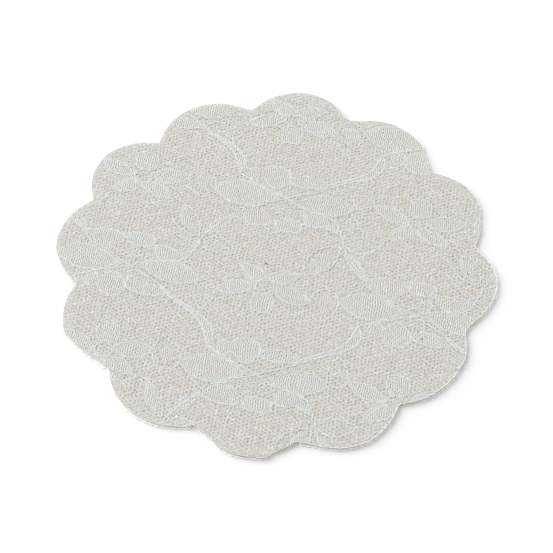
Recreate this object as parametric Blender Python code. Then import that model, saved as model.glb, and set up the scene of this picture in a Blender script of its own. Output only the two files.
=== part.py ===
"""Scalloped lace doily: a plain woven backing cloth with a flower lace laid over it.

Both sheets are cut to one twelve-scallop outline. The lace carries its flowers,
leaves and corded stems as low relief. Metres, +Z up, origin under the middle.
"""
import bmesh
import bpy
import numpy as np
from mathutils import Vector
from mathutils.geometry import delaunay_2d_cdt

MM = 0.001

# Thicknesses and heights
BACKING_THICKNESS = 1.0 * MM
SHEET_GAP = 0.3 * MM
LACE_GROUND = 0.6 * MM
PETAL_RISE = 0.28 * MM
CORD_RISE = 0.4 * MM

# Relief widths, in millimetres
PETAL_RAMP = 0.6
CORD_WIDTH = 1.1
TWIN_SPACING = 1.9

# Points along the curves
POINTS_PER_SCALLOP = 10
POINTS_PER_PETAL_SIDE = 6
CORD_STEP = 4.0
WELD_DISTANCE = 0.08

# Outline: where each scallop starts, and how far its notch and its tip reach
SCALLOPS = (
    # notch_angle_deg, notch_radius_mm, tip_radius_mm
    (8.5, 68.5, 75.0),
    (37.5, 67.5, 74.5),
    (68.0, 67.0, 76.5),
    (98.0, 67.5, 74.5),
    (129.0, 66.0, 75.5),
    (157.5, 67.5, 75.0),
    (187.5, 66.5, 74.5),
    (217.5, 67.5, 74.5),
    (248.0, 68.0, 74.5),
    (277.0, 69.0, 75.0),
    (307.0, 67.5, 73.5),
    (339.5, 67.5, 75.0),
)

# The lace runs askew: its courses and wales in plan, and the size of one repeat
COURSE_ANGLE = -11.0
WALE_ANGLE = 82.8
REPEAT_COURSES = 97.6
REPEAT_WALES = 73.0
GLIDE_WALE = 18.2

# How a petal swells from foot to tip: where it is widest, and how full it is
PETAL_FORMS = {
    # form: (skew, power)
    "leaf": (1.0, 0.80),
    "round": (1.35, 0.45),
    "drop": (0.75, 0.60),
    "square": (1.0, 0.14),
    "spindle": (1.0, 1.0),
}

# One half repeat of the lace, on courses (s) and wales (t), in millimetres
PETALS = (
    # form, foot_s, foot_t, tip_s, tip_t, width
    ("leaf", -5.6, -9.9, -18.0, -13.4, 5.6),
    ("leaf", -4.0, -6.4, -11.4, -1.9, 4.2),
    ("leaf", 0.0, -7.0, 8.2, -2.8, 4.2),
    ("leaf", 1.0, -10.0, 13.0, -12.6, 6.2),
    ("square", -2.2, -12.6, -2.1, -19.8, 7.8),
    ("leaf", -4.0, 28.4, -24.8, 27.2, 9.4),
    ("round", -4.0, 32.6, -5.0, 43.2, 9.4),
    ("round", -10.6, 33.6, -12.4, 40.2, 5.0),
    ("round", 0.6, 36.6, 13.4, 37.6, 5.0),
    ("leaf", 5.6, 28.2, 23.2, 29.4, 8.6),
    ("leaf", -4.6, 19.6, -17.8, 16.6, 4.6),
    ("square", 1.4, 20.6, 1.4, 15.2, 9.6),
    ("leaf", 7.2, 20.2, 19.6, 18.2, 3.4),
    ("leaf", 20.4, 11.4, 10.8, -1.8, 8.4),
    ("spindle", -26.2, 8.4, -16.4, 19.4, 3.0),
    ("drop", 18.7, -7.4, 17.1, -19.5, 9.2),
    ("drop", -21.7, -13.0, -22.4, -22.8, 6.8),
)
RINGS = (
    # centre_s, centre_t, radius
    (-2.4, -9.2, 2.9),
)
CORDS = (
    # name, (s, t) points along the cord
    ("arch", ((-27.0, 5.0), (-26.4, 8.0), (-22.4, 13.0), (-18.4, 17.4), (-15.0, 21.2), (-10.0, 23.6),
              (-4.0, 25.0), (3.0, 24.9), (9.0, 24.7), (14.0, 24.0), (17.6, 22.4), (19.8, 19.0),
              (21.2, 15.6), (21.8, 13.2))),
    ("fan", ((-27.0, 4.6), (-22.8, 6.2), (-18.6, 6.5), (-15.6, 4.4), (-13.4, 1.2), (-11.4, -1.9))),
    ("link", ((8.2, -2.8), (10.8, -1.8))),
)
TWIN_CORDS = (
    # name, (s, t) points along the middle of the pair
    ("stem", ((13.6, -36.4), (18.4, -33.2), (23.2, -30.6), (27.0, -28.0), (29.6, -25.0), (30.4, -21.4),
              (31.2, -18.4))),
)

BACKING_COLOUR = (0.617, 0.588, 0.527)
LACE_COLOUR = (0.745, 0.760, 0.740)
CLOTH_ROUGHNESS = 0.92


def unit_from_degrees(angle):
    radians = np.radians(angle)
    return np.array([np.cos(radians), np.sin(radians)])


def arc_through(start, middle, end, count):
    """Points on the circle through three points, from the first up to but not at the last."""
    rows = 2.0 * np.array([middle - start, end - start])
    sides = np.array([middle @ middle - start @ start, end @ end - start @ start])
    centre = np.linalg.solve(rows, sides)
    radius = np.linalg.norm(start - centre)
    first = np.arctan2(*(start - centre)[::-1])
    last = np.arctan2(*(end - centre)[::-1])
    turn = (last - first) % (2.0 * np.pi)
    angles = first + turn * np.arange(count) / count
    return centre + radius * np.column_stack([np.cos(angles), np.sin(angles)])


def scalloped_outline():
    """The cut outline in millimetres, one arc for each scallop, counter-clockwise."""
    arcs = []
    for index, (angle, notch, tip) in enumerate(SCALLOPS):
        next_angle, next_notch, _ = SCALLOPS[(index + 1) % len(SCALLOPS)]
        span = (next_angle - angle) % 360.0
        start = notch * unit_from_degrees(angle)
        middle = tip * unit_from_degrees(angle + span / 2.0)
        end = next_notch * unit_from_degrees(next_angle)
        arcs.append(arc_through(start, middle, end, POINTS_PER_SCALLOP))
    return np.vstack(arcs)


OUTLINE = scalloped_outline()
PLAN_CENTRE = (OUTLINE.min(axis=0) + OUTLINE.max(axis=0)) / 2.0
OUTLINE = OUTLINE - PLAN_CENTRE
COURSE = unit_from_degrees(COURSE_ANGLE)
WALE = unit_from_degrees(WALE_ANGLE)


def on_plan(points, column, row, flipped):
    """Chart points in plan, for one repeat of the chart and its glide image."""
    s, t = np.asarray(points, dtype=float).T
    if flipped:
        s = s + REPEAT_COURSES / 2.0
        t = GLIDE_WALE - t
    s = s + column * REPEAT_COURSES
    t = t + row * REPEAT_WALES
    return s[:, None] * COURSE + t[:, None] * WALE - PLAN_CENTRE


def every_repeat():
    """All places of the half repeat that can reach the doily."""
    for column in (-1, 0, 1):
        for row in (-2, -1, 0, 1, 2):
            for flipped in (False, True):
                yield column, row, flipped


def inside_loop(points, loop):
    """Even-odd test of points against a closed loop."""
    x, y = points[:, 0:1], points[:, 1:2]
    ax, ay = loop.T
    bx, by = np.roll(loop, -1, axis=0).T
    crosses = (ay > y) != (by > y)
    with np.errstate(divide="ignore", invalid="ignore"):
        reach = ax + (y - ay) * (bx - ax) / (by - ay)
    return (np.sum(crosses & (x < reach), axis=1) % 2) == 1


def distance_to_line(points, line, closed):
    """Shortest distance from each point to a run of straight segments."""
    starts = line if closed else line[:-1]
    ends = np.roll(line, -1, axis=0) if closed else line[1:]
    along = ends - starts
    lengths = np.maximum((along ** 2).sum(axis=1), 1e-12)
    offset = points[:, None, :] - starts[None]
    share = np.clip((offset * along).sum(axis=2) / lengths, 0.0, 1.0)
    nearest = starts + share[..., None] * along
    return np.linalg.norm(points[:, None, :] - nearest, axis=2).min(axis=1)


def petal_loop(form, foot, tip, width, margin):
    """A petal's closed outline on the chart, drawn in by margin on every side."""
    skew, power = PETAL_FORMS[form]
    foot, tip = np.array(foot), np.array(tip)
    axis = tip - foot
    length = np.linalg.norm(axis)
    axis = axis / length
    across = np.array([-axis[1], axis[0]])
    share = (np.arange(1, POINTS_PER_PETAL_SIDE + 1) - 0.5) / POINTS_PER_PETAL_SIDE
    half = (width / 2.0 - margin) * np.sin(np.pi * share ** skew) ** power
    station = margin + share * (length - 2.0 * margin)
    ends = np.array([margin, length - margin])
    left = foot + station[:, None] * axis + half[:, None] * across
    right = foot + station[:, None] * axis - half[:, None] * across
    toe, point = foot + ends[:, None] * axis
    return np.vstack([toe, right, point, left[::-1]])


def ring_loop(s, t, radius):
    angles = 2.0 * np.pi * np.arange(10) / 10
    return np.array([s, t]) + radius * np.column_stack([np.cos(angles), np.sin(angles)])


def smooth_route(points, step):
    """A Catmull-Rom run through the points, with a station about every step."""
    knots = np.vstack([2 * points[0] - points[1], points, 2 * points[-1] - points[-2]])
    run = [points[0]]
    for a, b, c, d in zip(knots, knots[1:], knots[2:], knots[3:]):
        count = max(1, round(np.linalg.norm(c - b) / step))
        for u in np.arange(1, count + 1) / count:
            run.append(0.5 * (2 * b + (c - a) * u + (2 * a - 5 * b + 4 * c - d) * u ** 2
                              + (3 * b - a - 3 * c + d) * u ** 3))
    return np.array(run)


def sideways(route, offset):
    """The route moved sideways, for the second cord of a pair or the edge of one."""
    along = np.gradient(route, axis=0)
    along = along / np.linalg.norm(along, axis=1, keepdims=True)
    return route + offset * np.column_stack([-along[:, 1], along[:, 0]])


def near_doily(points):
    """True where any of the points comes within the doily's outline."""
    return bool(inside_loop(points, OUTLINE).any())


class Relief:
    """The raised forms of the lace: their lines in plan and the height they give."""

    def __init__(self):
        self.lines = []
        self.petals = []
        self.cords = []

    def add_petal(self, outer, inner):
        if near_doily(outer):
            self.petals.append(outer)
            self.lines.append((outer, True))
            self.lines.append((inner, True))

    def add_cord(self, route, closed):
        if not near_doily(route):
            return
        self.cords.append((route, closed))
        self.lines.append((route, closed))
        if closed:
            centre = route.mean(axis=0)
            reach = np.linalg.norm(route - centre, axis=1).mean()
            for side in (1.0 - CORD_WIDTH / 2.0 / reach, 1.0 + CORD_WIDTH / 2.0 / reach):
                self.lines.append((centre + side * (route - centre), True))
        else:
            for side in (-CORD_WIDTH / 2.0, CORD_WIDTH / 2.0):
                self.lines.append((sideways(route, side), False))

    def height(self, points):
        """Rise above the lace ground at each plan point, in metres."""
        rise = np.zeros(len(points))
        for loop in self.petals:
            ramp = np.minimum(distance_to_line(points, loop, True) / (0.85 * PETAL_RAMP), 1.0)
            rise = np.maximum(rise, PETAL_RISE * ramp * inside_loop(points, loop))
        for route, closed in self.cords:
            ramp = 1.0 - distance_to_line(points, route, closed) / (CORD_WIDTH / 2.0)
            rise = np.maximum(rise, CORD_RISE * np.clip(ramp, 0.0, 1.0))
        return rise


def charted_relief():
    """Every petal, ring and cord of the chart, repeated over the doily."""
    relief = Relief()
    for place in every_repeat():
        for form, foot_s, foot_t, tip_s, tip_t, width in PETALS:
            loops = [petal_loop(form, (foot_s, foot_t), (tip_s, tip_t), width, margin)
                     for margin in (0.0, PETAL_RAMP)]
            relief.add_petal(on_plan(loops[0], *place), on_plan(loops[1], *place))
        for s, t, radius in RINGS:
            relief.add_cord(on_plan(ring_loop(s, t, radius), *place), True)
        for _, points in CORDS:
            relief.add_cord(smooth_route(on_plan(points, *place), CORD_STEP), False)
        for _, points in TWIN_CORDS:
            route = smooth_route(on_plan(points, *place), CORD_STEP)
            for side in (-TWIN_SPACING / 2.0, TWIN_SPACING / 2.0):
                relief.add_cord(sideways(route, side), False)
    return relief


def triangulated_top(relief):
    """Plan points in millimetres and the triangles between them, inside the outline."""
    points = []
    edges = []
    for line, closed in [(OUTLINE, True)] + relief.lines:
        first = len(points)
        points.extend(Vector(point) for point in line)
        edges.extend((first + k, first + k + 1) for k in range(len(line) - 1))
        if closed:
            edges.append((len(points) - 1, first))
    found, _, faces, *_ = delaunay_2d_cdt(points, edges, [], 0, WELD_DISTANCE)
    plan = np.array(found)
    faces = np.array(faces)
    keep = inside_loop(plan[faces].mean(axis=1), OUTLINE)
    return plan, faces[keep]


def cloth_material(name, colour):
    material = bpy.data.materials.new(name)
    material.use_nodes = True
    shader = material.node_tree.nodes["Principled BSDF"]
    shader.inputs["Base Color"].default_value = (*colour, 1.0)
    shader.inputs["Roughness"].default_value = CLOTH_ROUGHNESS
    shader.inputs["Metallic"].default_value = 0.0
    return material


def add_object(name, bm, material):
    bmesh.ops.recalc_face_normals(bm, faces=bm.faces)
    mesh = bpy.data.meshes.new(name)
    bm.to_mesh(mesh)
    bm.free()
    mesh.materials.append(material)
    piece = bpy.data.objects.new(name, mesh)
    bpy.context.scene.collection.objects.link(piece)
    return piece


def build_backing():
    """The backing cloth: one flat sheet of even thickness."""
    bm = bmesh.new()
    floor = [bm.verts.new((x * MM, y * MM, 0.0)) for x, y in OUTLINE]
    sheet = bm.faces.new(floor)
    extruded = bmesh.ops.extrude_face_region(bm, geom=[sheet])["geom"]
    raised = [item for item in extruded if isinstance(item, bmesh.types.BMVert)]
    bmesh.ops.translate(bm, verts=raised, vec=(0.0, 0.0, BACKING_THICKNESS))
    return add_object("backing_cloth", bm, cloth_material("plain woven cotton", BACKING_COLOUR))


def build_lace():
    """The lace: a flat underside, and a top that rises at each petal and cord."""
    relief = charted_relief()
    plan, faces = triangulated_top(relief)
    underside = BACKING_THICKNESS + SHEET_GAP
    used = np.unique(faces)
    levels = np.zeros(len(plan))
    levels[used] = underside + LACE_GROUND + relief.height(plan[used])
    bm = bmesh.new()
    top = {k: bm.verts.new((plan[k][0] * MM, plan[k][1] * MM, levels[k])) for k in used}
    for face in faces:
        bm.faces.new([top[k] for k in face])
    bmesh.ops.remove_doubles(bm, verts=bm.verts, dist=WELD_DISTANCE * MM)
    rim = [edge for edge in bm.edges if edge.is_boundary]
    walls = bmesh.ops.extrude_edge_only(bm, edges=rim)["geom"]
    lower = [item for item in walls if isinstance(item, bmesh.types.BMVert)]
    for vert in lower:
        vert.co.z = underside
    floor = [item for item in walls if isinstance(item, bmesh.types.BMEdge)]
    bmesh.ops.contextual_create(bm, geom=floor)
    return add_object("lace", bm, cloth_material("flower lace", LACE_COLOUR))


def main():
    for old in list(bpy.data.objects):
        bpy.data.objects.remove(old, do_unlink=True)
    build_backing()
    build_lace()


main()
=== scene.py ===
import math
from functools import partial
from itertools import product

import bmesh
import bpy
import numpy as np
from mathutils import Matrix, Vector
from mathutils.geometry import delaunay_2d_cdt


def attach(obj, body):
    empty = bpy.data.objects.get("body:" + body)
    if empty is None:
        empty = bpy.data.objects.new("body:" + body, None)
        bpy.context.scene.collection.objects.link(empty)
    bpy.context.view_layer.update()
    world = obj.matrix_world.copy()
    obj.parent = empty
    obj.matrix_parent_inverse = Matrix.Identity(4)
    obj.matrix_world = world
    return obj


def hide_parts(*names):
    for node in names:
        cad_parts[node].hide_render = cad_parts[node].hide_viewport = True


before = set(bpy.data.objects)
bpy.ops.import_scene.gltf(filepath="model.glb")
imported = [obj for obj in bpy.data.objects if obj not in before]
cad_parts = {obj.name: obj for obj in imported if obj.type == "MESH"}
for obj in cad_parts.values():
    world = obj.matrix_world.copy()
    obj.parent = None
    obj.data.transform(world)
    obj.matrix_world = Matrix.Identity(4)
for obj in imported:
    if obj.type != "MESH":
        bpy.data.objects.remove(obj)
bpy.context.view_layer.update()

mm = 0.001


def addNode(tree, kind, *inputs, **settings):
    # one node; its kind may name an operation too, and its inputs come in order and then by name
    kind, _, operation = kind.partition(" ")
    if operation:
        settings["operation"] = operation
    kinds = [start + kind for start in ("GeometryNode", "FunctionNode", "ShaderNode", "Node")]
    node = tree.nodes.new(next(found for found in kinds if hasattr(bpy.types, found)))
    for name, value in settings.items():
        setattr(node, name, value)
    named = inputs[-1] if inputs and isinstance(inputs[-1], dict) else {}
    slots = [k for k, slot in enumerate(node.inputs) if slot.enabled]
    fillInputs(node, {**dict(zip(slots, inputs[:-1] if named else inputs)), **named})
    return node


def fillInputs(node, inputs):
    # an input may be a value, a socket or another node, which gives its first output
    for key, value in inputs.items():
        if isinstance(value, bpy.types.Node):
            value = next(slot for slot in value.outputs if slot.enabled)
        if isinstance(value, bpy.types.NodeSocket):
            node.id_data.links.new(value, node.inputs[key])
        else:
            node.inputs[key].default_value = value


def hexToLinear(code):
    # an sRGB hex colour as the linear RGBA that shader sockets take
    channels = [int(code[k:k + 2], 16) / 255.0 for k in (1, 3, 5)]
    return tuple(c / 12.92 if c <= 0.04045 else ((c + 0.055) / 1.055) ** 2.4 for c in channels) + (1.0,)


def newTree(name, values):
    # a geometry tree with a named input for each value; returns its node adder and those inputs
    tree = bpy.data.node_groups.new(name, "GeometryNodeTree")
    kinds = {float: "Float", int: "Int", bpy.types.Object: "Object", bpy.types.Material: "Material"}
    sockets = [("Geometry", "INPUT", "Geometry"), ("Geometry", "OUTPUT", "Geometry")]
    sockets += [(label, "INPUT", kinds[type(value)]) for label, value in values.items()]
    for label, side, kind in sockets:
        tree.interface.new_socket(label, in_out=side, socket_type="NodeSocket" + kind)
    add = partial(addNode, tree)
    return add, add("GroupInput").outputs


def endTree(add, given, geometry):
    # the end of every tree, which it returns
    real = add("RealizeInstances", geometry)
    add("GroupOutput", add("SetMaterial", real, {"Material": given["Material"]}))
    return real.id_data


def runTree(source, tree, values):
    # the mesh that the tree makes from the source object
    modifier = source.modifiers.new(tree.name, "NODES")
    modifier.node_group = tree
    for item in tree.interface.items_tree:
        if item.in_out == "INPUT" and item.name in values:
            modifier[item.identifier] = values[item.name]
    graph = bpy.context.evaluated_depsgraph_get()
    mesh = bpy.data.meshes.new_from_object(source.evaluated_get(graph))
    source.modifiers.remove(modifier)
    return mesh


def addObject(name, data):
    piece = bpy.data.objects.new(name, data)
    bpy.context.scene.collection.objects.link(piece)
    return piece


def dropObject(piece):
    data = piece.data
    bpy.data.objects.remove(piece)
    (bpy.data.meshes if isinstance(data, bpy.types.Mesh) else bpy.data.curves).remove(data)


def growPiece(name, source, buildTree, values):
    # the piece that a tree with these inputs makes from its source
    mesh = runTree(source, buildTree(values), values)
    mesh.name = name
    dropObject(source)
    return addObject(name, mesh)


def report(*pieces):
    for piece in pieces:
        print(piece.name, sum(len(face.vertices) - 2 for face in piece.data.polygons), "triangles")


def lengthsOf(piece, *labels):
    # tree inputs in metres, from a piece's dictionary in mm: "Rib Pitch" is its ribPitch
    return {label: piece[label[0].lower() + label[1:].replace(" ", "")] * mm for label in labels}


def bridgeLoops(bm, loops):
    for lower, upper in zip(loops, loops[1:]):
        for k in range(len(lower)):
            n = (k + 1) % len(lower)
            bm.faces.new((lower[k], lower[n], upper[n], upper[k]))


def meshObject(name, bm):
    mesh = bpy.data.meshes.new(name)
    bm.to_mesh(mesh)
    bm.free()
    return addObject(name, mesh)


def oddCount(half, pitch):
    # points at this pitch from -half to half, with one in the middle
    return int(2 * half / pitch) // 2 * 2 + 1


def meshPoints(mesh):
    points = np.empty(len(mesh.vertices) * 3)
    mesh.vertices.foreach_get("co", points)
    return points.reshape(-1, 3)


def unitFromDegrees(angle):
    return np.array([math.cos(math.radians(angle)), math.sin(math.radians(angle))])


# The cut outline in mm, and the slanted axes along which the lace was knitted.
doily = {
    "half": 78.0,  # mm from the middle that a grid over the cloth covers
    "pointsPerScallop": 80,
    "scallops": (
        # notch angle in degrees, notch radius and tip radius in mm
        (8.5, 68.5, 75.0), (37.5, 67.5, 74.5), (68.0, 67.0, 76.5), (98.0, 67.5, 74.5),
        (129.0, 66.0, 75.5), (157.5, 67.5, 75.0), (187.5, 66.5, 74.5), (217.5, 67.5, 74.5),
        (248.0, 68.0, 74.5), (277.0, 69.0, 75.0), (307.0, 67.5, 73.5), (339.5, 67.5, 75.0),
    ),
    "courseAngle": -11.0,  # the lace lies askew on the cloth
    "waleAngle": 82.8,
    "repeatCourses": 97.6,  # one repeat of the flowers, in mm
    "repeatWales": 73.0,
    "glideWale": 18.2,  # every second flower is turned over this line
    "flatArea": 0.0166,  # square metres of each cut
    "handCut": (
        # direction in degrees, mm that the cut strays outward, mm that the cloth shows past the lace
        (-12, -0.2, 0.35), (-8.5, 0.2, 0.5), (-3, 0.4, 0.6), (0, 0.2, 0.65), (3, -0.3, 0.5),
        (5.5, -0.6, 0.1), (6.8, 0, -0.2), (8.2, 0.5, -0.3), (10, 0.1, -0.2), (12, 0, 0), (14.5, -0.5, 0.2),
        (16.5, -0.5, 0.4), (18, -0.1, 0.6), (20, 0.4, 0.7), (25, 0.8, 0.6), (28, 0.9, 0.6), (31, 0.6, 0.6),
        (34, 0.3, 0.5), (36.5, 0.2, 0.4), (38.5, -0.1, 0.2), (41, -0.4, 0.3), (44, -0.2, 0.5),
        (46, 0.6, 0.8), (49, 0.7, 0.8), (53, 0.8, 0.8), (57, 1, 0.7), (60, 1.1, 0.7), (64, 0.9, 0.7),
        (66, 1.4, 0.6), (67.7, 2.2, 0.5), (68.6, 1.2, 0.5), (70, -0.1, 0.5), (72, 0, 0.5), (75, 0.6, 0.5),
        (79, 0.6, 0.3), (83.5, 0.6, 0.1), (87, 0.4, 0.1), (96.5, 0.4, 0.1), (98.2, 1.4, 0.1),
        (99.8, 0.5, 0.1), (118, 0.5, 0.1), (128, 0.5, 0.1), (129.5, 1, 0.1), (132, 0.3, 0.1),
        (138, 0.2, 0.1), (143, 0.6, 0.1), (147, 0.3, 0.1), (156.5, 0.6, 0.1), (158.3, 1.5, 0.1),
        (160.5, 0.6, 0.1), (166, 0.2, 0.1), (176.5, 0.6, 0.1), (180, 0.3, 0.1), (187, 0.5, 0.1),
        (188.3, 1, 0.1), (190.5, 0.4, 0.1), (199, 0.3, 0.1), (203, 0.9, 0.24), (205, 0, 0.24),
        (207.5, -0.6, 0.3), (211, -0.9, 0.3), (214, -0.7, 0.3), (216, 0, 0.36), (217.6, 1.3, 0.42),
        (219.5, 0.2, 0.45), (233, 0, 0.45), (243, 0.2, 0.3), (246, 0.6, 0.25), (247.6, 1, 0.4),
        (250, -0.5, 0.3), (252, -1.2, 0.3), (254, -0.9, 0.3), (257, -0.1, 0.3), (260, 0.5, 0.25),
        (266, 0.9, 0.3), (267.5, 1.5, 0.15), (269, 1.1, -0.1), (270.5, 0.3, -0.2), (272.5, -0.2, -0.3),
        (276.2, 0, -0.3), (277.2, 0.8, 0.3), (278.6, -0.2, 0.3), (281, -0.6, 0.3), (284, -0.5, 0.3),
        (287, -0.1, 0.25), (289, 0, 0.2), (294.5, 0.4, 0.2), (297, 0.2, 0.1), (303, 0.2, 0),
        (304.8, 0.3, -0.1), (306.2, 0.6, -0.2), (308, 0.2, -0.2), (311, 0, -0.1), (314, 0.1, 0.1),
        (317, -0.2, 0.2), (322, -0.2, 0.2), (326, -0.1, 0.1), (329.5, 0.3, -0.1), (331, 0.2, -0.3),
        (334, 0, -0.4), (336.8, -0.2, -0.5), (337.6, 0.4, -0.5), (338.6, 1.3, -0.5), (340, 0.4, -0.3),
        (342, -0.2, -0.1), (345, -0.3, 0.2),
    ),
}


def arcThrough(start, middle, end, count):
    rows = 2.0 * np.array([middle - start, end - start])
    sides = np.array([middle @ middle - start @ start, end @ end - start @ start])
    centre = np.linalg.solve(rows, sides)
    first = math.atan2(*(start - centre)[::-1])
    last = math.atan2(*(end - centre)[::-1])
    angles = first + ((last - first) % (2.0 * math.pi)) * np.arange(count) / count
    return centre + np.linalg.norm(start - centre) * np.column_stack([np.cos(angles), np.sin(angles)])


def scallopedOutline():
    arcs = []
    for (angle, notch, tip), (nextAngle, nextNotch, _) in zip(
            doily["scallops"], doily["scallops"][1:] + doily["scallops"][:1]):
        halfSpan = ((nextAngle - angle) % 360.0) / 2.0
        arcs.append(arcThrough(notch * unitFromDegrees(angle), tip * unitFromDegrees(angle + halfSpan),
                               nextNotch * unitFromDegrees(nextAngle), doily["pointsPerScallop"]))
    return np.vstack(arcs)


outline = scallopedOutline()
planCentre = (outline.min(axis=0) + outline.max(axis=0)) / 2.0
outline = outline - planCentre


def directionOf(points):
    return np.arctan2(points[:, 1], points[:, 0])


def handCutAt(points, column):
    # one column of the hand cut, in the direction of each plan point
    directions, *values = np.array(doily["handCut"]).T
    return np.interp(np.degrees(directionOf(points)), directions, values[column], period=360.0)


outline *= 1.0 + (handCutAt(outline, 0) / np.linalg.norm(outline, axis=1))[:, None]
splay = handCutAt(outline, 1)
course = unitFromDegrees(doily["courseAngle"])
wale = unitFromDegrees(doily["waleAngle"])


def fabricToPlan(points):
    points = np.asarray(points, dtype=float)
    return points[:, :1] * course + points[:, 1:2] * wale - planCentre


def planToFabric(points):
    return np.linalg.solve(np.column_stack([course, wale]), (points + planCentre).T).T


def placeRepeat(points, column, row, flipped):
    # chart points moved to one repeat, still along the courses and wales
    points = np.array(points, dtype=float)
    if flipped:
        points = np.column_stack([points[:, 0] + doily["repeatCourses"] / 2.0,
                                  doily["glideWale"] - points[:, 1]])
    return points + (column * doily["repeatCourses"], row * doily["repeatWales"])


def everyRepeat():
    return product((-1, 0, 1), (-2, -1, 0, 1, 2), (False, True))


def outlineReach(points):
    # how far the cut reaches from the middle, in the direction of each plan point, in mm
    return np.interp(directionOf(points), directionOf(outline), np.linalg.norm(outline, axis=1),
                     period=2.0 * math.pi)


def within(points, inset):
    # which plan points lie inside the cut by this much
    return np.linalg.norm(points[:, :2], axis=1) < outlineReach(points) - inset


def outlineNormals():
    along = np.roll(outline, -1, axis=0) - np.roll(outline, 1, axis=0)
    along /= np.linalg.norm(along, axis=1, keepdims=True)
    return np.column_stack([along[:, 1], -along[:, 0]])


def wobble(points, wavelength, seed, count=7):
    # smooth sums of waves, between about -1 and 1, for uneven hand-cut and relaxed shapes
    rng = np.random.default_rng(seed)
    total = np.zeros(len(points))
    for _ in range(count):
        direction = unitFromDegrees(rng.uniform(0.0, 360.0)) / (wavelength * rng.uniform(0.7, 1.5))
        total += np.sin(2.0 * math.pi * points[:, :2] @ direction + rng.uniform(0.0, 2.0 * math.pi))
    return total / (count / 2)


# The chart of the lace's motifs, in mm along its courses (s) and wales (t).
petals = (
    # name, foot s, foot t, tip s, tip t, width, skew, power, bow, filled
    ("flowerLeft", -5.6, -9.7, -18.4, -14, 5.3, 1, 0.8, -0.4, True),
    ("flowerUpperLeft", -2.6, -6.6, -12, -1.4, 5.4, 0.8, 0.75, 0.4, True),
    ("flowerUpperRight", -3, -6.6, 8.6, -2.3, 5, 1.25, 0.75, -0.4, True),
    ("flowerRight", 0.6, -10.1, 13.7, -12.8, 6.2, 0.95, 0.75, 0.1, True),
    ("flowerSkirt", -2.2, -12.4, -2.1, -19.9, 7.5, 1, 0.14, 0, True),
    ("blossomLeft", -3.6, 28.4, -25.2, 28, 10.4, 1.25, 0.75, 0, True),
    ("blossomTop", -4.4, 32.3, -5.2, 42, 9.8, 1.35, 0.42, 0, True),
    ("blossomBud", -11.4, 33.6, -12.6, 39.6, 5, 1.35, 0.5, 0, True),
    ("blossomArm", 0.4, 36.6, 14.2, 37.2, 4.8, 0.8, 0.55, 0.3, True),
    ("blossomRight", 5.2, 27.6, 23.6, 29.4, 8.6, 1, 0.6, 0, True),
    ("underMiddle", 1.8, 20, 1.8, 14.8, 9.6, 1, 0.16, 0, True),
    ("heart", 0.9, 25, 0.9, 21.2, 3, 1.2, 0.5, 0, False),
    ("starLeft", 0, 27.2, -3.5, 29.4, 2, 1, 0.8, 0, False),
    ("starRight", 2, 27.2, 5.5, 30, 2.2, 1, 0.8, 0, False),
    ("pointedLeaf", 20.8, 12, 10.4, -1.8, 8.3, 1, 0.75, -0.4, False),
    ("spindleLeaf", -26, 8, -17, 18.2, 3.2, 1, 1, 0, True),
    ("dropRight", 19.4, -6.2, 17.2, -19.6, 9.3, 0.75, 0.58, 0, False),
    ("dropLeft", -22, -11, -22.4, -22.6, 7, 0.7, 0.58, 0, False),
)
filledPatches = (
    # the filled ground under each end of the arch, as (s, t) points round it
    ((-18.2, 16.8), (-16.2, 20.2), (-13.2, 22.2), (-9.2, 23.2), (-6.8, 22.4), (-5, 19.6), (-4, 17.2),
     (-5.4, 16.1), (-9.8, 15.4), (-13, 15.9), (-15.8, 17)),
    ((7, 19), (9.6, 18.4), (12.4, 18.8), (14.4, 19.6), (16.6, 18.7), (19.2, 17.5), (19.6, 18.8),
     (17.8, 21.4), (15.4, 23.1), (12.2, 23.8), (8.8, 24.4), (7, 22.4)),
    # the bands inside the pointed leaf and the drop
    ((13.4, -0.4), (16.4, 2), (18.4, 6.6), (17.8, 10.2), (15.6, 8.8), (13.6, 4.6)),
    ((17.2, -8.8), (19.8, -8.6), (21.2, -11.5), (20, -15), (17.6, -16.2), (16.4, -12.5)),
)
sheerPatches = (
    # centre s, centre t, length, width, angle of its length in degrees
    (13.4, -24.6, 11, 4.2, -50), (22.8, -24, 8, 3.2, -80), (33, -29.5, 8, 4, 90),
    (39, -27.2, 8, 3, -5), (9.6, 12.6, 11, 4.4, -6), (32, 7.4, 17, 1.8, -9),
    (-21.9, -15.8, 5, 4, 0),
    (-14.6, 11, 11, 2.2, 4), (-19.4, 3.4, 8, 4.2, -8),
)
flowerRing = (-2.4, -9.2, 3)  # centre s, centre t, radius
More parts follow.
